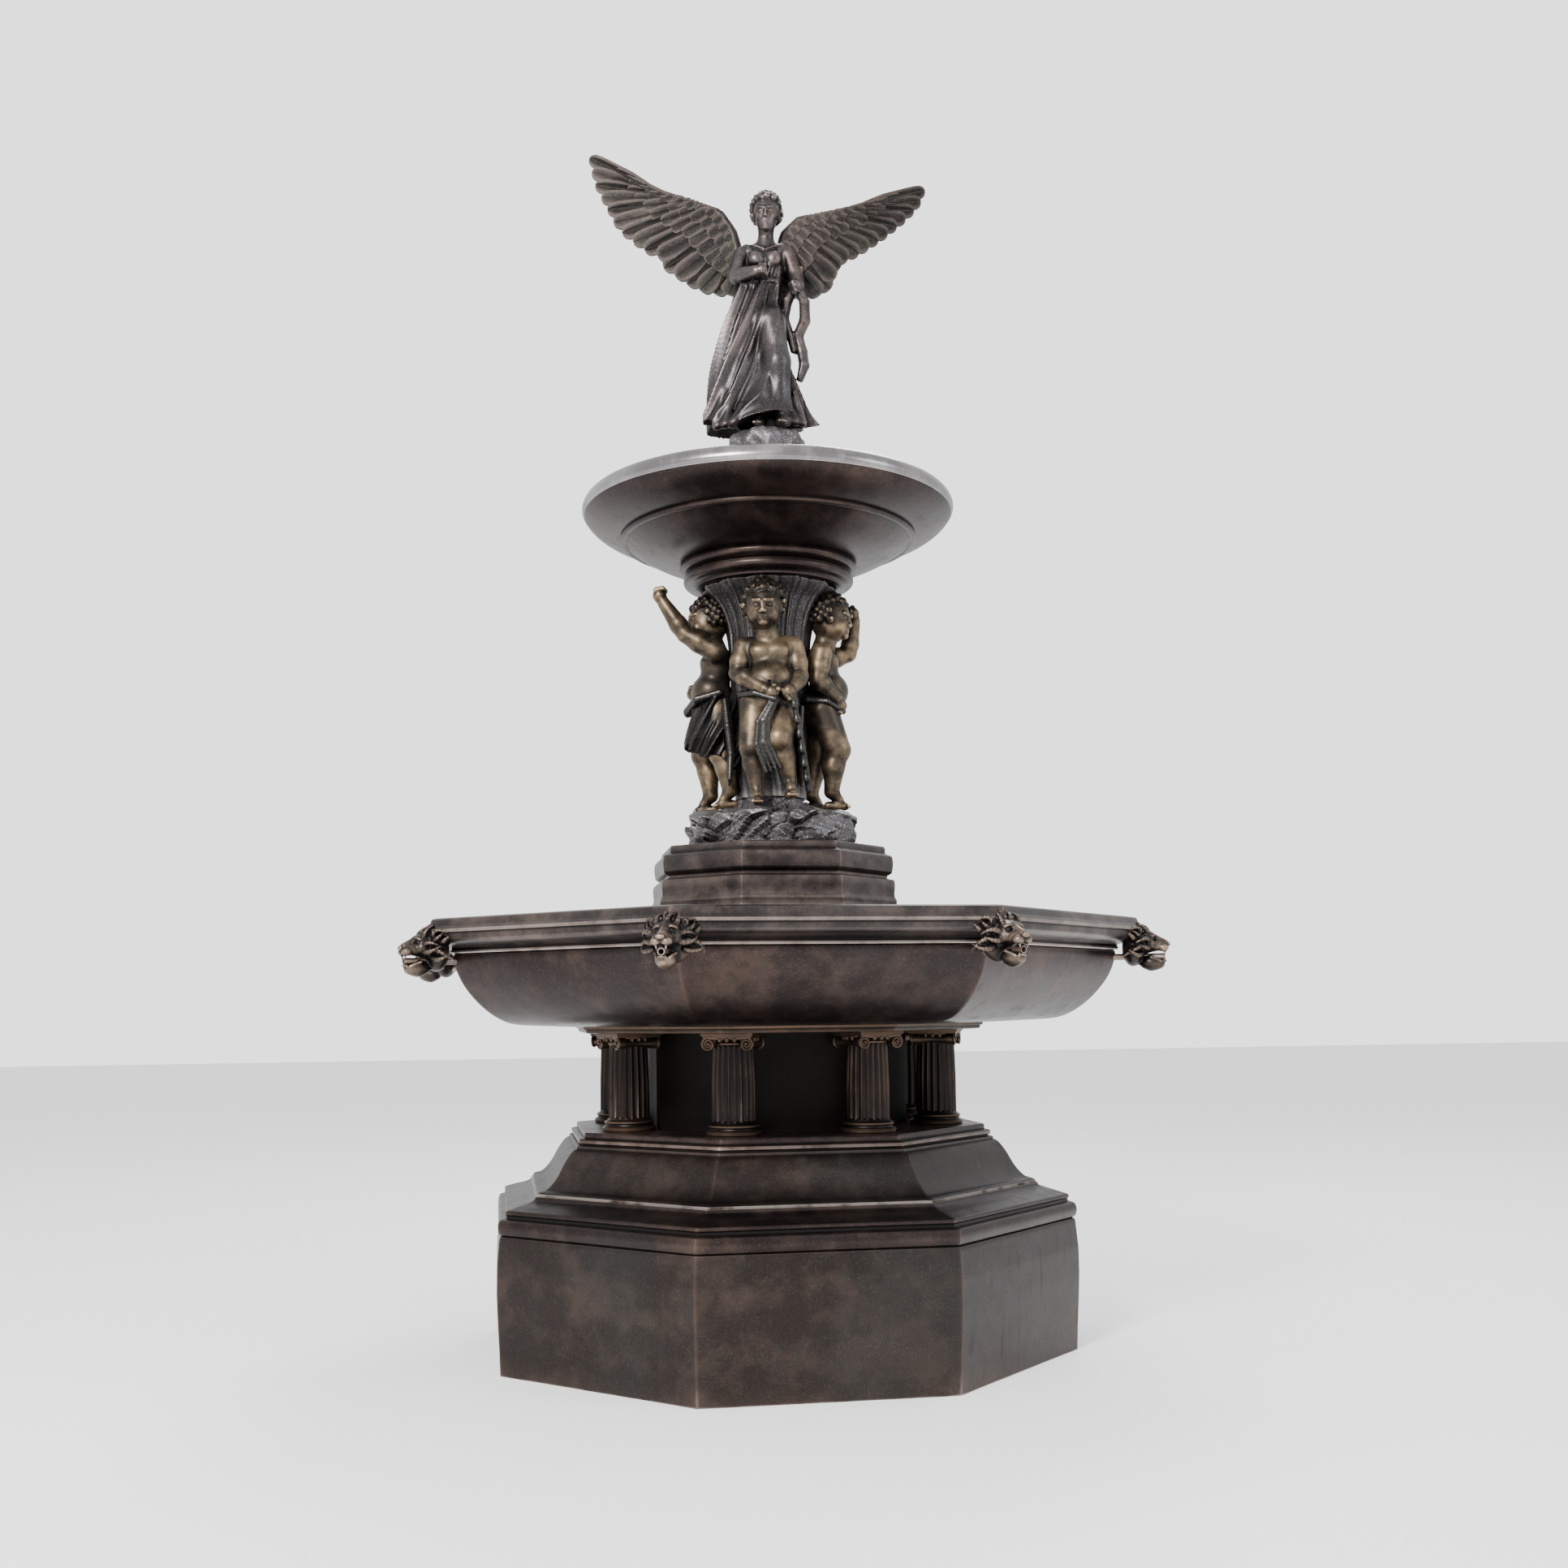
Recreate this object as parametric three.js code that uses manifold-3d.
// Tiered cast-bronze fountain with a winged figure.
//
// Eight-sided castings are stacked one on another: a plinth, a moulding, a hollow-curved pedestal,
// a ring of eight columns, a wide basin with a spouting mask at each corner, and two stepped tiers.
// On the tiers stand a rock mound with four child figures round a flared stem, a round bowl and a
// winged figure.  A pump in the hollow plinth feeds a riser pipe on the axis, inside a core drum.
//
// Millimetres, +Z up, origin on the ground on the fountain's axis.  A flat of the plinth faces -Y.
// The figures as a group are turned FIGURE_TURN degrees from that flat.
import * as THREE from "three";
import { mergeVertices } from "three/addons/utils/BufferGeometryUtils.js";
import Module from "manifold-3d";

const wasm = await Module();
wasm.setup();

// ---- driving dimensions -------------------------------------------------------------------------
const SIDES = 8;
const GAP = 0.3; // clearance between pieces cut to fit each other
const RISER_HOLE = 60; // radius of the hole that every casting leaves for the riser
const FIGURE_TURN = THREE.MathUtils.degToRad(-9.4);

// Bed joints between the castings, from the ground up.
const BED = {
  plinth: 0,
  moulding: 515,
  cavetto: 652,
  stylobate: 838,
  columns: 880,
  architrave: 1255,
  basin: 1290,
  basinFloor: 1308,
  rim: 1556,
  tierLower: 1700,
  tierUpper: 1858,
  rock: 1985,
  stem: 2190,
  collar: 3035,
  bowl: 3140,
  bowlFloor: 3156,
  figure: 3640,
};

const PLINTH_R = 1200; // corner radius of the plinth
const RIM_R = 1462; // corner radius of the basin's rim
const COLUMN_RING = 660; // columns stand on the corners of this octagon
const COLUMN_R = 80;
const SPOUT_Z = 1527;
const SPOUT = { outer: 13, inner: 10, from: 1325, to: 1553, hole: 15.4 };
const DRAIN_Y = 900; // the basin's drain is behind the tiers
const CHERUB_RING = 210;
const CHERUB_FOOT_Z = 2130;
const PIPE = { outer: 34, inner: 29 };
const VALVE_Z = 580;

const bronze = new THREE.MeshStandardMaterial({ color: 0x3d322c, roughness: 0.5, metalness: 0.75 });
const warmBronze = new THREE.MeshStandardMaterial({ color: 0x6f5b40, roughness: 0.42, metalness: 0.8 });
const greyBronze = new THREE.MeshStandardMaterial({ color: 0x4f4a52, roughness: 0.6, metalness: 0.6 });
const pipeMetal = new THREE.MeshStandardMaterial({ color: 0x9a6b47, roughness: 0.4, metalness: 0.9 });
const steel = new THREE.MeshStandardMaterial({ color: 0x9ea2a6, roughness: 0.35, metalness: 0.9 });
const paint = new THREE.MeshStandardMaterial({ color: 0x2b2f33, roughness: 0.6, metalness: 0.1 });
const leverRed = new THREE.MeshStandardMaterial({ color: 0x9c2320, roughness: 0.5, metalness: 0.1 });

// ---- solids -------------------------------------------------------------------------------------

// A closed three.js geometry as a manifold solid with its faces pointing out.
function solidOf(geometry) {
  const bare = geometry.index ? geometry.toNonIndexed() : geometry.clone();
  bare.deleteAttribute("normal");
  bare.deleteAttribute("uv");
  const merged = mergeVertices(bare, 1e-3);
  const corners = merged.index.array;
  const faces = [];
  for (let i = 0; i < corners.length; i += 3) {
    const [a, b, c] = [corners[i], corners[i + 1], corners[i + 2]];
    if (a !== b && b !== c && c !== a) faces.push(a, b, c);
  }
  const build = (list) =>
    new wasm.Manifold(
      new wasm.Mesh({
        numProp: 3,
        vertProperties: new Float32Array(merged.getAttribute("position").array),
        triVerts: new Uint32Array(list),
      }),
    );
  const made = build(faces);
  return made.volume() > 0 ? made : build(faces.reverse());
}

const joined = (solids) => solids.reduce((all, one) => all.add(one));
const without = (solid, cutters) => cutters.reduce((left, cutter) => left.subtract(cutter), solid);

function geometryOf(solid) {
  const mesh = solid.getMesh();
  const count = mesh.numVert;
  const points = new Float32Array(count * 3);
  for (let i = 0; i < count; i++) {
    points.set(mesh.vertProperties.subarray(i * mesh.numProp, i * mesh.numProp + 3), i * 3);
  }
  const geometry = new THREE.BufferGeometry();
  geometry.setAttribute("position", new THREE.BufferAttribute(points, 3));
  geometry.setIndex(new THREE.BufferAttribute(mesh.triVerts, 1));
  geometry.computeVertexNormals();
  return geometry;
}

const fountain = new THREE.Group();

// Adds one named piece to the fountain, or to a group in it.
function piece(name, solid, material, group = fountain) {
  const mesh = new THREE.Mesh(geometryOf(solid), material);
  mesh.name = name;
  group.add(mesh);
  return mesh;
}

// A closed [radius, height] outline turned about Z.  Eight sides give a casting with a flat at -Y.
function turnedGeometry(outline, sides = SIDES) {
  const points = [...outline, outline[0]].map(([r, z]) => new THREE.Vector2(r, z));
  return new THREE.LatheGeometry(points, sides, Math.PI / sides).rotateX(Math.PI / 2);
}
const turned = (outline, sides) => solidOf(turnedGeometry(outline, sides));

// A closed outline moved outwards by a distance, with mitred corners.
function grown(outline, by) {
  const count = outline.length;
  const area = outline.reduce((sum, [r, z], i) => {
    const [r2, z2] = outline[(i + 1) % count];
    return sum + r * z2 - r2 * z;
  }, 0);
  const side = Math.sign(area);
  const normal = ([r1, z1], [r2, z2]) => {
    const length = Math.hypot(r2 - r1, z2 - z1);
    return [(side * (z2 - z1)) / length, (side * (r1 - r2)) / length];
  };
  return outline.map((point, i) => {
    const before = normal(outline[(i + count - 1) % count], point);
    const after = normal(point, outline[(i + 1) % count]);
    const share = by / (1 + before[0] * after[0] + before[1] * after[1]);
    return [point[0] + share * (before[0] + after[0]), point[1] + share * (before[1] + after[1])];
  });
}

const ring = (inner, outer, low, high, sides) =>
  turned([[inner, low], [outer, low], [outer, high], [inner, high]], sides);

// An ellipsoid of 80 faces.
function ball([x, y, z], [rx, ry, rz], detail = 1) {
  return solidOf(new THREE.IcosahedronGeometry(1, detail).scale(rx, ry, rz).translate(x, y, z));
}

// A round bar between two [x, y, z, radius] ends.
function bar(from, to, sides = 6) {
  const start = new THREE.Vector3(from[0], from[1], from[2]);
  const end = new THREE.Vector3(to[0], to[1], to[2]);
  const along = end.clone().sub(start);
  const turn = new THREE.Quaternion().setFromUnitVectors(
    new THREE.Vector3(0, 1, 0),
    along.clone().normalize(),
  );
  const middle = start.add(end).multiplyScalar(0.5);
  const cone = new THREE.CylinderGeometry(to[3], from[3], along.length(), sides);
  return solidOf(cone.applyQuaternion(turn).translate(middle.x, middle.y, middle.z));
}

// A limb through [x, y, z, radius] joints: a cylinder whose rings are carried to the joints, with a
// smaller ring beyond each end to round it.
function limb(joints, sides = 6) {
  const centres = joints.map(([x, y, z]) => new THREE.Vector3(x, y, z));
  const last = joints.length - 1;
  const rings = joints.map((joint, i) => {
    const before = centres[Math.max(i - 1, 0)];
    const along = centres[Math.min(i + 1, last)].clone().sub(before).normalize();
    return { centre: centres[i], along, radius: joint[3] };
  });
  const tip = ({ centre, along, radius }, way) => ({
    centre: centre.clone().addScaledVector(along, way * 0.7 * radius),
    along,
    radius: 0.6 * radius,
  });
  const all = [tip(rings[0], -1), ...rings, tip(rings[last], 1)];
  const steps = all.length - 1;
  const across = new THREE.Vector3(1, 0.2, 0.1);
  const frames = all.map(({ along }) => {
    across.addScaledVector(along, -across.dot(along)).normalize();
    return [across.clone(), along.clone().cross(across)];
  });
  const geometry = new THREE.CylinderGeometry(1, 1, steps, sides, steps);
  const at = geometry.getAttribute("position");
  for (let i = 0; i < at.count; i++) {
    const k = Math.round(at.getY(i) + steps / 2);
    const point = all[k].centre.clone();
    point.addScaledVector(frames[k][0], at.getX(i) * all[k].radius);
    point.addScaledVector(frames[k][1], at.getZ(i) * all[k].radius);
    at.setXYZ(i, point.x, point.y, point.z);
  }
  return solidOf(geometry);
}

// Turns an angle round the axis, from -Y towards +X, into a placed group.
function groupAt(angle, radius = 0, z = 0) {
  const group = new THREE.Group();
  group.rotation.z = angle;
  group.position.set(radius * Math.sin(angle), -radius * Math.cos(angle), z);
  fountain.add(group);
  return group;
}

// The same placing for a solid, for cutting it against its neighbours.
function placed(solid, angle, radius = 0, z = 0) {
  const geometry = geometryOf(solid).rotateZ(angle);
  return solidOf(geometry.translate(radius * Math.sin(angle), -radius * Math.cos(angle), z));
}

const shifted = (solid, x, y, z) => solidOf(geometryOf(solid).translate(x, y, z));

const cornerAngle = (k) => ((k + 0.5) * 2 * Math.PI) / SIDES;

// ---- outlines of the castings, as [corner radius, height] ---------------------------------------

const plinthOutline = [
  [PLINTH_R, BED.plinth],
  [PLINTH_R, BED.moulding],
  [1060, BED.moulding],
  [1060, BED.moulding - 12],
  [PLINTH_R - 16, BED.moulding - 12],
  [PLINTH_R - 16, 15],
  [1090, 15],
  [1090, BED.plinth],
];

const mouldingOutline = [
  [1186, 515], [1197, 526], [1201, 546], [1197, 566], [1186, 577], [1172, 580], [1172, 590],
  [1168, 603], [1156, 609], [1062, 636], [1056, 640], [1056, 652],
  [1036, 652], [1036, 626], [1148, 590], [1160, 560], [1160, 527], [1060, 527], [1060, 515],
];

const cavettoOutline = [
  [1046, 652], [1046, 660], [1020, 668], [990, 690], [968, 715], [951, 742], [936, 768],
  [921, 792], [903, 812], [880, 826], [862, 832], [862, 838],
  [780, 838], [780, 824], [860, 812], [890, 796], [922, 740], [950, 694], [985, 666], [1000, 652],
];

const stylobateOutline = [
  [870, 838], [870, 856], [848, 862], [848, 872], [842, 880],
  [RISER_HOLE, 880], [RISER_HOLE, 866], [770, 866], [780, 838],
];

const architraveOutline = [
  [820, 1255], [838, 1266], [850, 1276], [850, 1290], [500, 1290], [500, 1255],
];

const basinOutline = [
  [1085, 1290], [1150, 1300], [1200, 1322], [1243, 1350], [1280, 1383], [1312, 1418],
  [1336, 1453], [1352, 1490], [1362, 1525], [1368, 1556],
  [1350, 1556], [1344, 1525], [1334, 1494], [1318, 1460], [1295, 1428], [1264, 1396],
  [1228, 1366], [1188, 1340], [1143, 1320], [1085, 1308],
  [RISER_HOLE, 1308], [RISER_HOLE, 1290],
];

const rimOutline = [
  [1372, 1556], [1374, 1566], [1390, 1574], [1424, 1582], [1446, 1594], [1452, 1606],
  [1452, 1630], [RIM_R, 1636], [RIM_R, 1646], [1456, 1652], [1448, 1676], [1440, 1680],
  [1330, 1680], [1324, 1672], [1324, 1662], [1430, 1664], [1438, 1640], [1436, 1608],
  [1400, 1594], [1366, 1578], [1350, 1572], [1350, 1556],
];

// What the masks are hollowed by, so that they sit over the corner of basin and rim.
const maskSeatOutline = [
  [1316, 1418], [1340, 1453], [1356, 1490], [1370, 1545], [1392, 1568], [1454, 1590],
  [1464, 1600], [1464, 1700], [1200, 1700], [1200, 1418],
];

const tankPedestalOutline = [
  [500, 1308], [500, 1700], [486, 1700], [486, 1322], [440, 1322], [440, 1308],
];

const tierLowerOutline = [
  [516, 1700], [516, 1775], [508, 1783], [504, 1790], [504, 1846], [496, 1856], [470, 1858],
  [430, 1858], [430, 1846], [488, 1838], [490, 1795], [500, 1770], [500, 1714], [450, 1714],
  [450, 1700],
];

const tierUpperOutline = [
  [474, 1858], [474, 1872], [490, 1880], [494, 1886], [494, 1944], [484, 1952], [466, 1954],
  [466, 1978], [456, 1985], [RISER_HOLE, 1985], [RISER_HOLE, 1971], [452, 1971], [452, 1945],
  [480, 1938], [480, 1890], [458, 1872], [430, 1872], [430, 1858],
];

const rockOutline = [
  [330, 1985], [338, 2030], [334, 2080], [322, 2104], [290, 2116], [240, 2124], [190, 2138],
  [150, 2166], [140, 2190], [RISER_HOLE, 2190],
  [RISER_HOLE, 2172], [125, 2166], [180, 2122], [235, 2108], [286, 2098], [308, 2072],
  [314, 2030], [308, 1985],
];

const stemOutline = [
  [134, 2190], [130, 2400], [132, 2600], [138, 2750], [150, 2850], [174, 2920], [212, 2980],
  [256, 3020], [270, 3035], [240, 3035], [200, 2992], [162, 2932], [138, 2856], [126, 2750],
  [120, 2600], [118, 2400], [122, 2190],
];

// What a child's back and head are cut to: the inside of the stem, filled.
const stemFilling = [
  [0, 2180], [121, 2192], [119, 2400], [121, 2600], [128, 2750], [141, 2856], [165, 2928],
  [206, 2990], [248, 3034], [0, 3034],
];

const collarOutline = [
  [284, 3035], [306, 3042], [320, 3052], [338, 3060], [344, 3072], [342, 3086], [330, 3094],
  [332, 3100], [350, 3104], [358, 3116], [356, 3130], [346, 3140],
  [270, 3140], [240, 3050], [240, 3035],
];

const bowlOutline = [
  [352, 3140], [387, 3142], [430, 3155], [484, 3177], [540, 3208], [578, 3232], [590, 3232],
  [600, 3240], [598, 3250], [640, 3258], [697, 3284], [733, 3318], [744, 3342], [743, 3360],
  [734, 3378], [724, 3388], [714, 3394],
  [704, 3388], [706, 3372], [664, 3310], [570, 3252], [480, 3198], [400, 3168],
  [180, BED.bowlFloor],
  [RISER_HOLE, BED.bowlFloor], [RISER_HOLE, 3140],
];

const figurePedestalOutline = [
  [165, BED.bowlFloor], [165, 3200], [142, 3215], [132, 3598], [150, 3612], [150, BED.figure],
  [40, BED.figure], [40, 3626], [118, 3596], [128, 3215], [120, 3176], [RISER_HOLE, 3176],
  [RISER_HOLE, BED.bowlFloor],
];

// ---- castings -----------------------------------------------------------------------------------

function column() {
  const abacus = 100;
  const shaftLow = BED.columns + 44;
  const shaftHigh = BED.architrave - 34;
  const turnedPart = turned(
    [
      [50, BED.columns], [100, BED.columns], [102, BED.columns + 12], [92, BED.columns + 22],
      [94, BED.columns + 34], [84, shaftLow], [COLUMN_R, shaftLow + 8], [74, shaftHigh - 6],
      [84, shaftHigh], [96, BED.architrave - 18], [50, BED.architrave - 18],
    ],
    10,
  );
  const slab = new THREE.BoxGeometry(2 * abacus, 2 * abacus, 16).translate(0, 0, BED.architrave - 9);
  const scrolls = [-74, 74].map((x) =>
    solidOf(new THREE.CylinderGeometry(24, 24, 176, 7).translate(x, 0, BED.architrave - 38)),
  );
  const hollow = new THREE.BoxGeometry(80, 80, 100).translate(0, 0, BED.architrave - 30);
  return turnedPart.add(joined([solidOf(slab), ...scrolls]).subtract(solidOf(hollow)));
}

function basin() {
  const spoutHole = solidOf(
    new THREE.CylinderGeometry(SPOUT.hole, SPOUT.hole, 160, 8).translate(0, -1350, SPOUT_Z),
  );
  const holes = [...Array(SIDES).keys()].map((k) => placed(spoutHole, cornerAngle(k)));
  const drain = solidOf(
    new THREE.CylinderGeometry(30, 30, 60, 16).rotateX(Math.PI / 2).translate(0, DRAIN_Y, BED.basin),
  );
  return without(turned(basinOutline), [...holes, drain]);
}

// A mask of a lion on the basin's corner, facing -Y.  It holds a spout tube in its open mouth.
function lionHead() {
  const head = joined([
    ball([0, 22, 14], [97, 46, 92]), // mane
    ball([0, -26, 20], [58, 58, 58]), // skull
    ball([0, -66, -10], [37, 36, 26]), // muzzle
    ball([0, -36, -62], [38, 56, 26], 0), // jaw
    ball([-52, -14, 74], [18, 16, 20], 0), // ears
    ball([52, -14, 74], [18, 16, 20], 0),
  ]);
  const set = shifted(head, 0, -(RIM_R - 2), SPOUT_Z + 38);
  const bore = solidOf(
    new THREE.CylinderGeometry(SPOUT.hole, SPOUT.hole, 400, 6).translate(0, -1450, SPOUT_Z),
  );
  const front = solidOf(new THREE.BoxGeometry(600, 400, 600).translate(0, -(1355 + 200), SPOUT_Z));
  const seat = placed(turned(maskSeatOutline), Math.PI / SIDES); // a corner brought to -Y
  return without(set.intersect(front), [bore, seat]);
}

function spoutTube() {
  const length = SPOUT.to - SPOUT.from;
  const tube = turnedGeometry(
    [[SPOUT.inner, 0], [SPOUT.outer, 0], [SPOUT.outer, length], [SPOUT.inner, length]],
    8,
  );
  return solidOf(tube.rotateX(Math.PI / 2).translate(0, -SPOUT.from, SPOUT_Z));
}

// Gives a turned surface boulders: the radius swells and sinks round it and up it.
function rock(grow = 0) {
  const geometry = turnedGeometry(grown(rockOutline, grow), 20);
  const at = geometry.getAttribute("position");
  for (let i = 0; i < at.count; i++) {
    const [x, y, z] = [at.getX(i), at.getY(i), at.getZ(i)];
    const radius = Math.hypot(x, y);
    if (radius < 90) continue;
    const angle = Math.atan2(y, x);
    const up = (z - BED.rock) / 100;
    const swell = 9 * Math.sin(5 * angle + 2 * up) + 6 * Math.cos(9 * angle - 3 * up);
    const scale = (radius + swell * Math.min(1, up * 2)) / radius;
    at.setXY(i, x * scale, y * scale);
  }
  return solidOf(geometry);
}

const stem = (grow = 0) => turned(grown(stemOutline, grow), 16);

// ---- figures ------------------------------------------------------------------------------------

// Joints of each child figure as [x, y, z, radius]: +X to its left hand, -Y is where it faces, and Z
// is above the sole.  The four hold their arms and legs differently.
// A small child is five heads tall, and its head is four fifths as wide as it is tall.
const CHILD_TALL = 875;
const CHILD_HEAD = CHILD_TALL / 5;
const CURLS = 14; // thickness of the hair
const childHead = {
  centre: [-20, -36, CHILD_TALL - CHILD_HEAD / 2],
  radii: [0.4 * CHILD_HEAD + CURLS, 0.45 * CHILD_HEAD + CURLS, CHILD_HEAD / 2 + CURLS],
};
const childTorso = [
  [[-4, -4, 590], [96, 74, 90]],
  [[-2, -14, 476], [106, 96, 100]],
];
const standing = [
  [[-56, 4, 410, 64], [-72, -20, 240, 52], [-54, -4, 80, 32], [-52, -52, 26, 24]],
  [[50, 4, 410, 64], [36, -84, 262, 53], [72, -40, 104, 33], [84, -96, 44, 24]],
];
const striding = [
  [[-54, 0, 410, 64], [-54, -62, 250, 53], [-44, -36, 86, 32], [-46, -88, 26, 24]],
  [[54, 0, 410, 64], [74, 12, 240, 52], [66, 46, 92, 32], [70, 0, 34, 24]],
];
const children = {
  front: {
    legs: standing,
    arms: [
      [[-100, 2, 634, 38], [-126, -20, 530, 33], [-20, -98, 452, 27], [46, -112, 418, 24]],
      [[96, 2, 634, 38], [120, -4, 520, 33], [90, -74, 462, 27], [72, -92, 442, 22]],
    ],
  },
  right: {
    legs: striding,
    arms: [
      [[-98, 0, 634, 38], [-112, 20, 530, 33], [-86, -60, 452, 27], [-66, -80, 410, 24]],
      [[96, 0, 638, 38], [104, -116, 672, 32], [70, -140, 800, 26], [40, -122, 858, 24]],
    ],
  },
  back: {
    legs: standing,
    arms: [
      [[-100, 2, 634, 38], [-132, -30, 540, 33], [-60, -112, 560, 27], [-10, -122, 584, 24]],
      [[98, 2, 634, 38], [124, 0, 520, 33], [104, -62, 440, 27], [92, -78, 410, 23]],
    ],
  },
  left: {
    legs: striding,
    arms: [
      [[-98, 0, 634, 38], [-118, -16, 530, 33], [-60, -92, 500, 27], [-20, -104, 500, 24]],
      [[98, -6, 644, 38], [94, -126, 716, 33], [82, -214, 850, 26], [74, -238, 896, 27]],
    ],
  },
};

function child({ legs, arms }) {
  const body = [
    ball(childHead.centre, childHead.radii),
    ...childTorso.map(([centre, radii]) => ball(centre, radii)),
    bar([-2, -4, 640, 52], [-12, -24, 720, 46], 8),
    limb([[-68, 0, 632, 50], [68, 0, 634, 50]]),
    ...legs.map((joints) => limb(joints)),
    ...arms.map((joints) => limb(joints)),
  ];
  const drape = limb([[-84, 30, 440, 40], [0, 62, 430, 44], [90, 30, 430, 40], [66, 44, 200, 40]]);
  return joined([...body, drape]);
}

// A robe: a turned surface, wider at the hem, with folds that deepen downwards.
function robe() {
  const outline = [
    [0, 20], [110, 22], [158, 28], [176, 50], [162, 120], [146, 220], [128, 330], [112, 440],
    [98, 540], [86, 620], [0, 628],
  ];
  const geometry = turnedGeometry(outline, 20);
  const at = geometry.getAttribute("position");
  for (let i = 0; i < at.count; i++) {
    const [x, y, z] = [at.getX(i), at.getY(i), at.getZ(i)];
    const low = 1 - Math.min(1, z / 560);
    const lean = -44 * Math.min(1, Math.max(0, (720 - z) / 240));
    const fold = 1 + 0.1 * low * Math.cos(10 * Math.atan2(y, x));
    at.setXYZ(i, x * fold * 1.14 + lean, y * fold * 0.86 + 6 * low, z);
  }
  return solidOf(geometry);
}

// A grown head is two thirds as wide as it is tall, and the neck shows for a third of its height.
const ANGEL_CROWN = 1000;
const ANGEL_HEAD = 148;

// The winged figure without its wings.  Z is above the bed of its base.
function angel() {
  return joined([
    solidOf(new THREE.CylinderGeometry(118, 138, 40, 16).rotateX(Math.PI / 2).translate(-10, 4, 20)),
    robe(),
    limb([[44, -70, 300, 62], [56, -60, 80, 44], [62, -96, 34, 22]]), // the advanced leg
    limb([[-24, -50, 120, 40], [-30, -112, 34, 20]]),
    ball([0, 0, 690], [78, 56, 84]),
    ball([0, -24, 740], [76, 50, 46]),
    limb([[-76, 6, 782, 32], [84, 6, 776, 32]]),
    bar([4, 2, 780, 36], [7, -8, ANGEL_CROWN - 0.8 * ANGEL_HEAD, 30], 8),
    ball(
      [8, -14, ANGEL_CROWN - ANGEL_HEAD / 2],
      [ANGEL_HEAD / 3, 0.4 * ANGEL_HEAD, ANGEL_HEAD / 2],
    ),
    ball(
      [10, 14, ANGEL_CROWN - 0.4 * ANGEL_HEAD],
      [ANGEL_HEAD / 3 + CURLS, 0.42 * ANGEL_HEAD, 0.4 * ANGEL_HEAD + CURLS],
    ), // hair
    limb([[-96, 4, 774, 36], [-112, -20, 668, 34], [-30, -98, 640, 24], [34, -106, 654, 17]]),
    limb([[96, 4, 768, 36], [132, -10, 656, 36], [146, -70, 600, 25], [132, -96, 592, 20]]),
    limb([[150, -40, 590, 34], [118, 6, 480, 26], [146, 20, 400, 24], [112, 30, 300, 34]]), // sleeve
  ]);
}

// A wing's outline in its own plane: u runs outwards along the spread and v is up.
function wingShape(leading, trailing) {
  const shape = new THREE.Shape();
  shape.moveTo(leading[0][0], leading[0][1]);
  shape.splineThru(leading.slice(1).map(([u, v]) => new THREE.Vector2(u, v)));
  trailing.forEach(([u, v]) => shape.lineTo(u, v));
  return shape;
}

const wings = {
  // to the figure's own right, raised
  right: {
    side: -1,
    leading: [[100, 760], [130, 890], [182, 974], [300, 1024], [430, 1062], [572, 1134], [712, 1222]],
    trailing: [
      [724, 1200], [700, 1112], [658, 1020], [610, 918], [566, 876], [474, 810], [430, 800],
      [412, 736], [352, 686], [300, 642], [230, 612], [150, 606],
    ],
  },
  // to its left, lower
  left: {
    side: 1,
    leading: [[60, 780], [82, 876], [144, 940], [250, 962], [370, 990], [470, 1016], [656, 1066]],
    trailing: [
      [670, 1048], [640, 998], [588, 946], [528, 892], [462, 842], [394, 796], [322, 762],
      [290, 702], [268, 650], [214, 616], [150, 630],
    ],
  },
};

const WING_THICK = 26;
const WING_SWEEP = 0.08; // how far back a wing goes for each unit outwards

function wing({ side, leading, trailing }) {
  const flat = new THREE.ExtrudeGeometry(wingShape(leading, trailing), {
    depth: WING_THICK,
    bevelEnabled: false,
    curveSegments: 10,
  });
  // Extruded along +Z from its own XY plane: stand it up, so that its face looks along Y.
  flat.rotateX(Math.PI / 2).translate(0, 44 + WING_THICK, 0);
  const at = flat.getAttribute("position");
  for (let i = 0; i < at.count; i++) {
    const u = at.getX(i);
    at.setXYZ(i, side * u, at.getY(i) + WING_SWEEP * (u - 60), at.getZ(i));
  }
  return solidOf(flat);
}

// ---- water works --------------------------------------------------------------------------------

const PUMP = { motorTop: 225, cageTop: 300, outlet: 430 };

function pumpMotor() {
  return turned(
    [
      [0, 0], [115, 0], [115, 12], [88, 16], [88, 212], [80, PUMP.motorTop],
      [14, PUMP.motorTop], [14, 185], [0, 185],
    ],
    20,
  );
}

function intakeCage() {
  const low = PUMP.motorTop + GAP;
  const bars = [...Array(10).keys()].map((k) =>
    placed(
      solidOf(new THREE.BoxGeometry(10, 8, PUMP.cageTop - low - 8).translate(0, 0, (low + PUMP.cageTop) / 2)),
      (k * 2 * Math.PI) / 10,
      74,
    ),
  );
  return joined([ring(66, 80, low, low + 10, 20), ring(66, 88, PUMP.cageTop - 10, PUMP.cageTop, 20), ...bars]);
}

function pumpCasing() {
  const low = PUMP.cageTop + GAP;
  return turned(
    [
      [34, low], [88, low], [88, 365], [75, 385], [38, 398], [38, PUMP.outlet],
      [PIPE.inner, PUMP.outlet], [PIPE.inner, 392], [66, 374], [74, 360], [74, 312], [34, 312],
    ],
    20,
  );
}

function impeller() {
  const vanes = [...Array(6).keys()].map((k) => {
    const vane = solidOf(
      new THREE.BoxGeometry(5, 44, 24).rotateZ(0.5).translate(0, -38, 334),
    );
    return placed(vane, (k * Math.PI) / 3);
  });
  return joined([ring(9.6, 62, 344, 350, 20), ring(9.6, 20, 322, 352, 20), ...vanes]);
}

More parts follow.
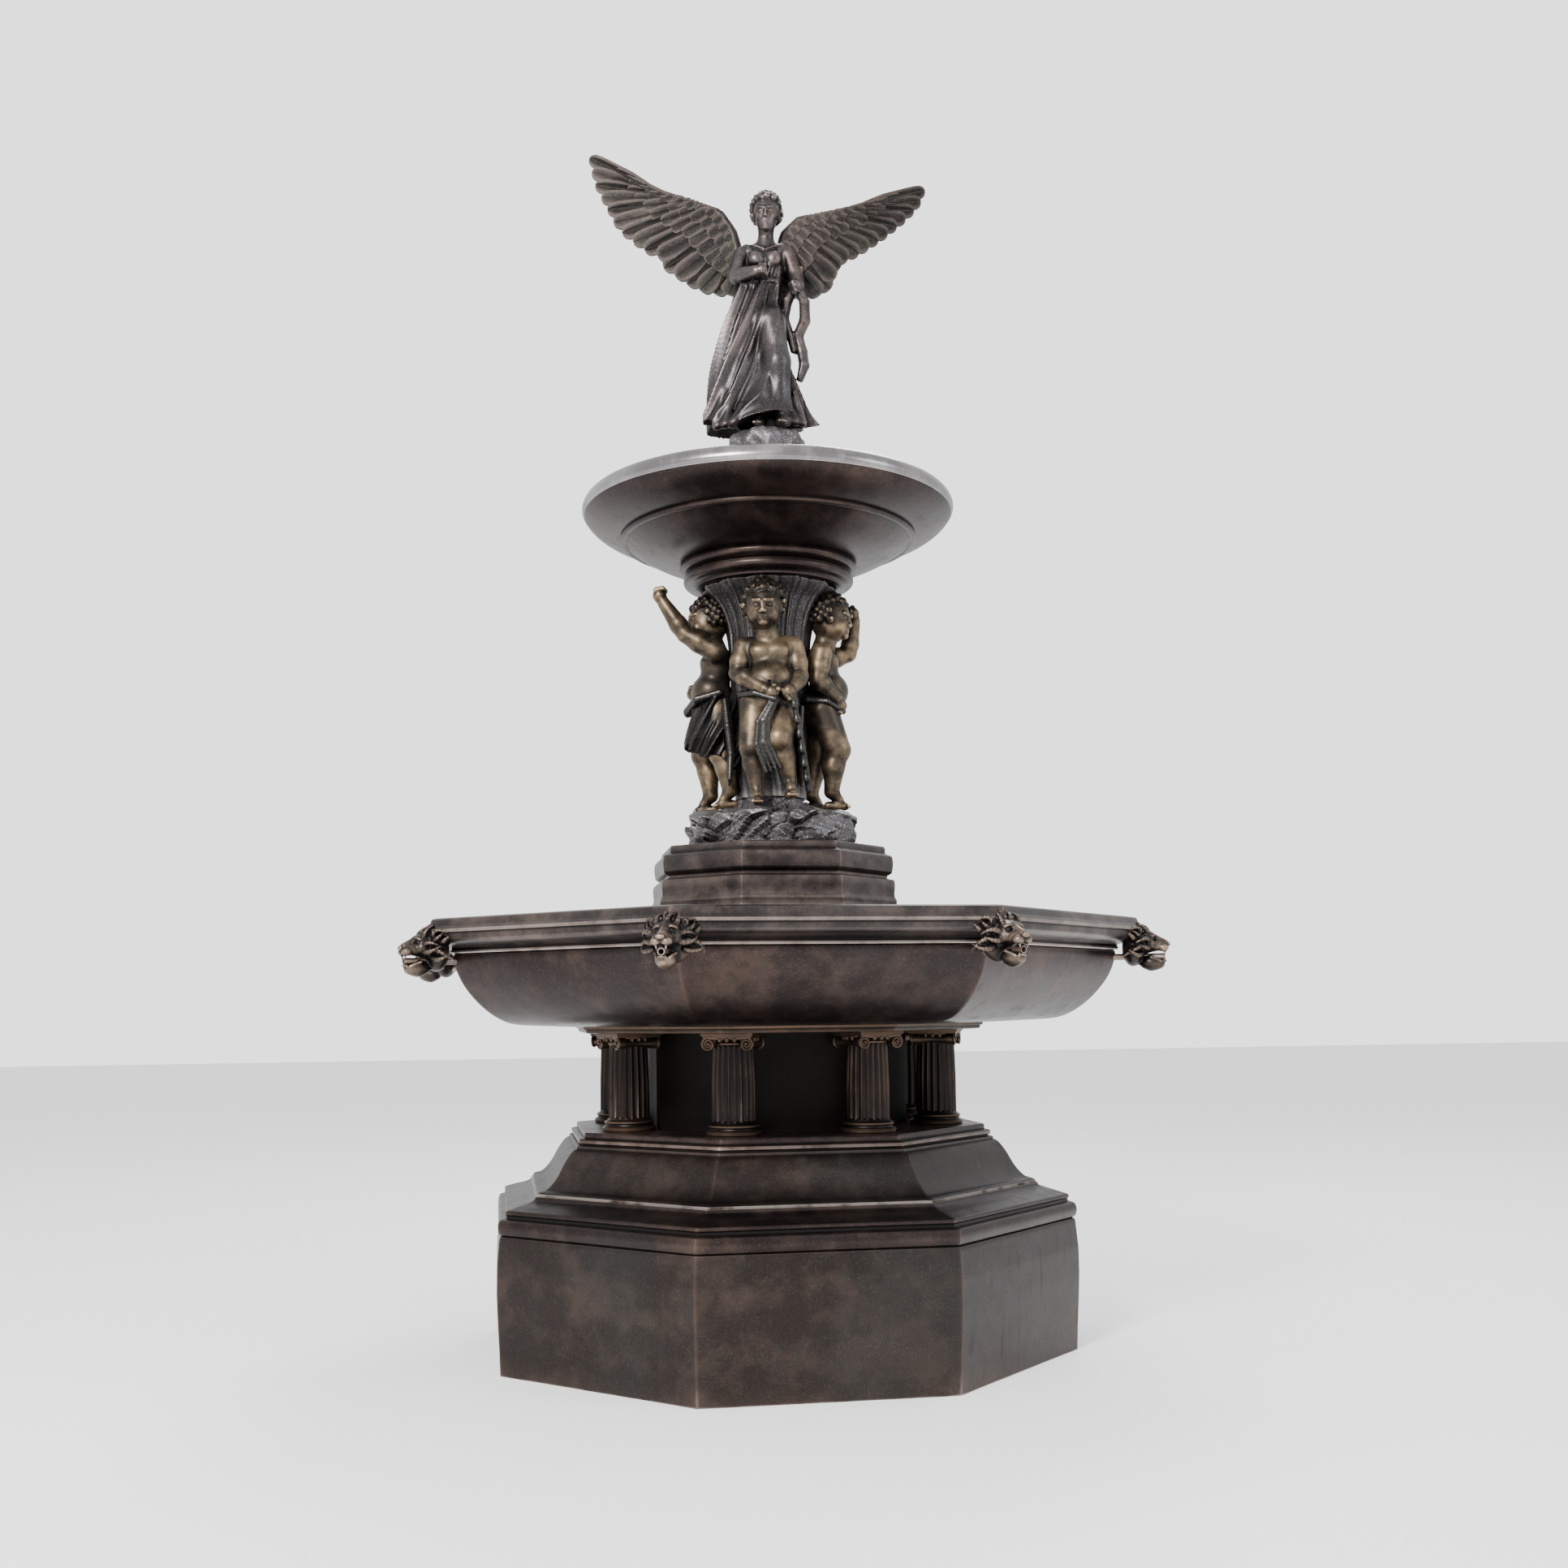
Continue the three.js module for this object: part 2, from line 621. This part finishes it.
function valveBody() {
  const shell = turned(
    [
      [24, 520], [38, 520], [38, 540], [60, 556], [60, 604], [38, 620], [38, 640], [24, 640],
    ],
    20,
  );
  const cavity = ball([0, 0, VALVE_Z], [42, 42, 42], 2);
  const spindleHole = solidOf(new THREE.CylinderGeometry(11.5, 11.5, 80, 16).translate(0, -40, VALVE_Z));
  return without(shell, [cavity, spindleHole]);
}

function valveBall() {
  const sphere = ball([0, 0, VALVE_Z], [38, 38, 38], 2);
  const spindle = solidOf(new THREE.CylinderGeometry(10, 10, 60, 16).translate(0, -50, VALVE_Z));
  const bore = solidOf(new THREE.CylinderGeometry(24, 24, 100, 16).rotateX(Math.PI / 2).translate(0, 0, VALVE_Z));
  return sphere.add(spindle).subtract(bore);
}

function valveLever() {
  const hub = new THREE.CylinderGeometry(17, 17, 7, 16).translate(0, -(80 + GAP + 3.5), VALVE_Z);
  const arm = new THREE.BoxGeometry(18, 5, 150).translate(0, -(80 + GAP + 3.5), VALVE_Z + 75);
  return solidOf(hub).add(solidOf(arm));
}

function drainSocket() {
  return turned(
    [
      [20, 1240], [29.4, 1240], [29.4, BED.basinFloor + GAP], [50, BED.basinFloor + GAP],
      [50, 1318], [38, 1330], [26.2, 1330], [26.2, 1288], [20, 1288],
    ],
    16,
  );
}

const standpipe = () =>
  turned([[21, 1288 + GAP], [25.2, 1288 + GAP], [25.2, 1606], [31, 1622], [31, 1626], [21, 1626]], 16);

// ---- assembly -----------------------------------------------------------------------------------

piece("plinth_block", turned(plinthOutline), bronze);
piece("plinth_moulding", turned(mouldingOutline), bronze);
piece("pedestal_cavetto", turned(cavettoOutline), bronze);
piece("stylobate", turned(stylobateOutline), bronze);
piece("architrave_ring", turned(architraveOutline), bronze);
piece("core_drum", ring(505, 520, BED.columns, BED.architrave, SIDES), bronze);
piece("basin", basin(), bronze);
piece("basin_rim", turned(rimOutline), bronze);
piece("basin_pedestal", turned(tankPedestalOutline), bronze);
piece("tier_lower", turned(tierLowerOutline), bronze);
piece("tier_upper", turned(tierUpperOutline), bronze);
piece("rock_mound", rock(), greyBronze);
piece("flared_stem", stem(), greyBronze);
piece("bowl_collar", turned(collarOutline, 24), bronze);
piece("upper_bowl", turned(bowlOutline, 28), bronze);

const shaft = column();
const mask = lionHead();
const tube = spoutTube();
for (let k = 0; k < SIDES; k++) {
  const angle = cornerAngle(k);
  piece(`column_${k + 1}`, shaft, bronze, groupAt(angle, COLUMN_RING));
  piece(`lion_mask_${k + 1}`, mask, warmBronze, groupAt(angle));
  piece(`spout_tube_${k + 1}`, tube, pipeMetal, groupAt(angle));
}

const seats = [
  rock(GAP), stem(GAP), turned(stemFilling, 16), turned(grown(collarOutline, GAP), 24),
];
Object.entries(children).forEach(([name, pose], k) => {
  const angle = FIGURE_TURN + (k * Math.PI) / 2;
  const stood = placed(child(pose), angle, CHERUB_RING, CHERUB_FOOT_Z);
  piece(`cherub_${name}`, without(stood, seats), warmBronze);
});

const ports = [0, 1, 2, 3].map((k) =>
  placed(
    solidOf(new THREE.CylinderGeometry(12, 12, 80, 8).translate(0, -135, 3290)),
    (k * Math.PI) / 2,
  ),
);
piece("figure_pedestal", without(turned(figurePedestalOutline, 16), ports), bronze);

const figure = groupAt(FIGURE_TURN, 0, BED.figure + GAP);
const body = angel();
const bodyRoom = joined(
  [[GAP, 0, 0], [-GAP, 0, 0], [0, GAP, 0], [0, -GAP, GAP]].map((by) => shifted(body, ...by)),
);
piece("winged_figure", body, bronze, figure);
for (const [name, shape] of Object.entries(wings)) {
  piece(`wing_${name}`, wing(shape).subtract(bodyRoom), bronze, figure);
}

piece("pump_motor", pumpMotor(), paint);
piece(
  "pump_cable_gland",
  solidOf(new THREE.CylinderGeometry(11, 14, 34, 12).rotateZ(-Math.PI / 2).translate(106, 0, 188)),
  paint,
);
piece("pump_intake_cage", intakeCage(), steel);
piece("pump_casing", pumpCasing(), paint);
piece("pump_shaft", solidOf(new THREE.CylinderGeometry(9, 9, 158, 16).rotateX(Math.PI / 2).translate(0, 0, 274)), steel);
piece("pump_impeller", impeller(), steel);
piece("riser_lower", ring(PIPE.inner, PIPE.outer, PUMP.outlet, 520, 16), pipeMetal);
piece("valve_body", valveBody(), pipeMetal);
piece("valve_ball", valveBall(), steel);
piece("valve_lever", valveLever(), leverRed);
piece("riser_upper", ring(PIPE.inner, PIPE.outer, 640, 3320, 16), pipeMetal);

const drain = new THREE.Group();
drain.position.y = DRAIN_Y;
fountain.add(drain);
piece("drain_socket", drainSocket(), pipeMetal, drain);
piece("standpipe", standpipe(), pipeMetal, drain);

export default fountain;
